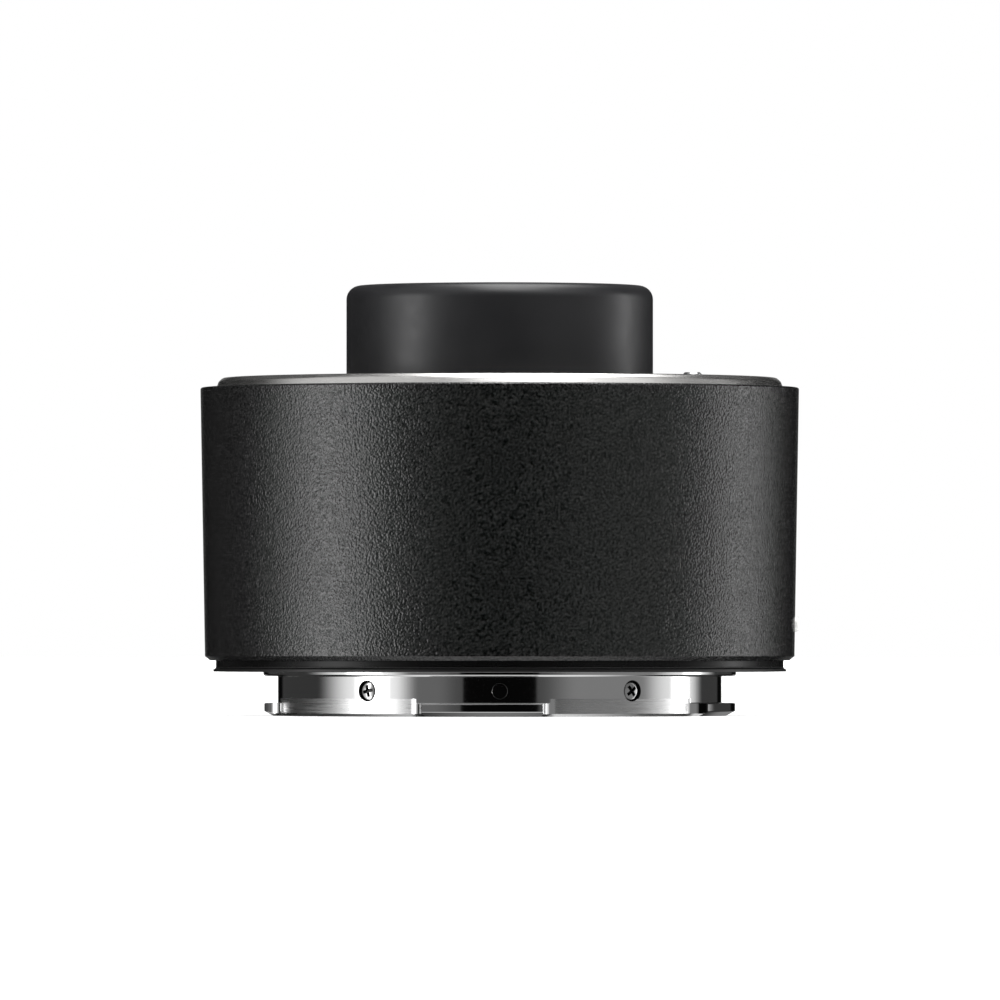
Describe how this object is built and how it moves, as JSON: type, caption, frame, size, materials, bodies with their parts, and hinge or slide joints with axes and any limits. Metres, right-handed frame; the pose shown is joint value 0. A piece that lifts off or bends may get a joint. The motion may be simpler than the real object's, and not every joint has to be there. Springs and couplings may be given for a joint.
{
  "type": "camera teleconverter",
  "caption": "Lens extender with a polished male bayonet at the back, a female bayonet ring and a nose at the front, a lens train and electric contacts.",
  "frame": {"origin": "on the optical axis, in the rear mount plane, at the root of the male bayonet's spigot", "axes": "+Z along the optical axis towards the front, where the nose is; -Y is the side with the contacts, which faces the picture's camera; +X is the side with the index dots"},
  "size_m": [0.0652, 0.0652, 0.0469],
  "materials": {
    "shell_paint": "black wrinkle paint",
    "ring_paint": "satin black paint",
    "nose_paint": "smooth satin black",
    "ring_metal": "satin chrome, fine turned",
    "bayonet_metal": "polished chrome plate",
    "screw_steel": "bright steel",
    "black_steel": "blackened steel",
    "spring_steel": "spring steel",
    "seal_rubber": "black rubber",
    "well_plastic": "matt black moulding",
    "contact_plastic": "fine black moulding",
    "contact_gold": "gold plate",
    "chassis_metal": "machined, anodised dark",
    "optic_black": "matt black anodise",
    "optic_glass": "coated optical glass",
    "board_green": "solder mask",
    "chip_black": "moulded epoxy",
    "flex_amber": "polyimide film",
    "dot_white": "white enamel",
    "lever_black": "satin black, fine blasted",
    "shim_metal": "plain strip"
  },
  "bodies": {
    "converter": {"outer_shell": "shell_paint", "front_mount_ring": "ring_metal", "nose_shell": "nose_paint", "rear_cover_ring": "ring_paint", "mount_seal": "seal_rubber", "rear_bayonet": "bayonet_metal", "barrel_side_screws": "screw_steel", "dowel_pin": "screw_steel", "side_index_dot": "dot_white", "chassis_tube": "chassis_metal", "rear_shim": "shim_metal", "rear_flange_screws": "screw_steel", "rear_light_baffle": "well_plastic", "rear_contact_block": "contact_plastic", "rear_contacts": "contact_gold", "rear_flex": "flex_amber", "front_flex": "flex_amber", "circuit_board": "board_green", "controller_chip": "chip_black", "board_screws": "screw_steel", "front_shroud": "well_plastic", "optics_screws": "black_steel", "front_contact_block": "contact_plastic", "contact_springs": "spring_steel", "front_mount_screws": "screw_steel", "front_mount_spring": "spring_steel", "lock_spring": "spring_steel", "front_index_dot": "dot_white", "lens_barrel": "optic_black", "front_element": "optic_glass", "front_doublet_negative": "optic_glass", "front_doublet_positive": "optic_glass", "middle_doublet_negative": "optic_glass", "middle_doublet_positive": "optic_glass", "field_element": "optic_glass", "rear_element": "optic_glass", "front_retaining_ring": "optic_black", "rear_retaining_ring": "optic_black", "front_spacer": "optic_black", "middle_spacer": "optic_black", "rear_spacer": "optic_black"},
    "release": {"lock_carrier": "lever_black", "lock_pin": "screw_steel", "release_slider": "lever_black"},
    "contact_pins": {"front_contact_pins": "contact_gold"}
  },
  "joints": [
    {"name": "release_slide", "type": "slide", "parent": "converter", "child": "release", "axis": [0, 0, -1], "range_m": [0, 0.0015], "stiffness_N_per_m": 700, "springref_m": -0.0015, "deforming": ["lock_spring"]},
    {"name": "contact_pins_press", "type": "slide", "parent": "converter", "child": "contact_pins", "axis": [0, 0, -1], "range_m": [0, 0.0006], "stiffness_N_per_m": 600, "springref_m": -0.001, "deforming": ["contact_springs"]}
  ]
}
